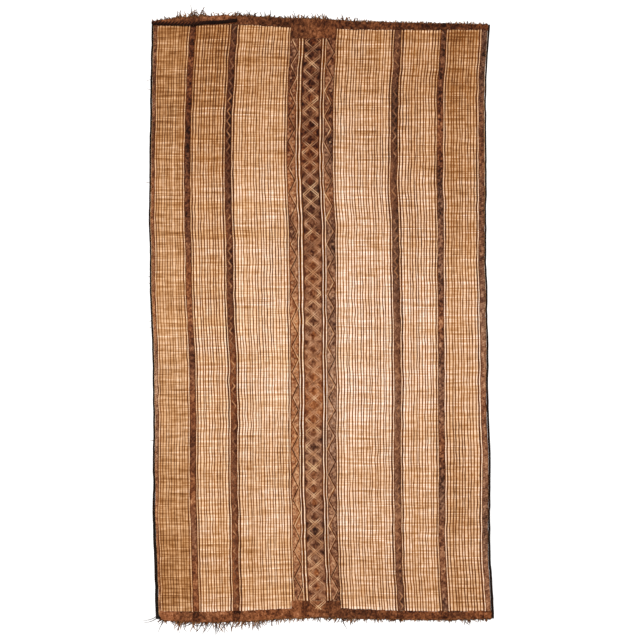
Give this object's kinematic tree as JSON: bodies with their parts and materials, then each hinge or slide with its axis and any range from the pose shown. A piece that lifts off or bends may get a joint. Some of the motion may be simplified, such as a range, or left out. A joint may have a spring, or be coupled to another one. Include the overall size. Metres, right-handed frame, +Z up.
{
  "type": "reed and leather floor mat",
  "caption": "Long Tuareg floor mat of reeds laced lengthwise with leather thongs, with woven leather bands, black side bindings, end strips and a ragged fringe",
  "frame": {"origin": "on the floor under the middle of the whole mat, fringe included", "axes": "+Y along the mat's length towards the end with the twisted cord, +X across it to the right as seen from above, +Z up from the floor"},
  "size_m": [1.797, 3.2682, 0.0117],
  "materials": {
    "reed": "dry split reed, straw to honey, worn in places",
    "border_leather": "brown woven leather, worn",
    "plain_leather": "dark brown woven leather",
    "chain_leather": "near-black woven leather with tan lacing",
    "patterned_leather": "brown woven leather with a tan lozenge or triangle lacing",
    "black_leather": "black overcast leather, slight sheen",
    "strip_leather": "rough brown leather with dark patches",
    "fringe_leather": "frayed leather ends"
  },
  "bodies": {
    "root": {"reed_bed": "reed", "band_side_left": "border_leather", "band_plain_left": "plain_leather", "band_chain_left": "chain_leather", "band_inner_left": "patterned_leather", "band_centre": "patterned_leather", "band_inner_right": "patterned_leather", "band_chain_right": "chain_leather", "band_plain_right": "plain_leather", "band_side_right": "border_leather", "binding_left": "black_leather", "binding_right": "black_leather", "end_strip_top": "strip_leather", "end_strip_foot": "strip_leather", "end_cord": "black_leather", "fringe_top": "fringe_leather", "fringe_foot": "fringe_leather"}
  },
  "joints": []
}
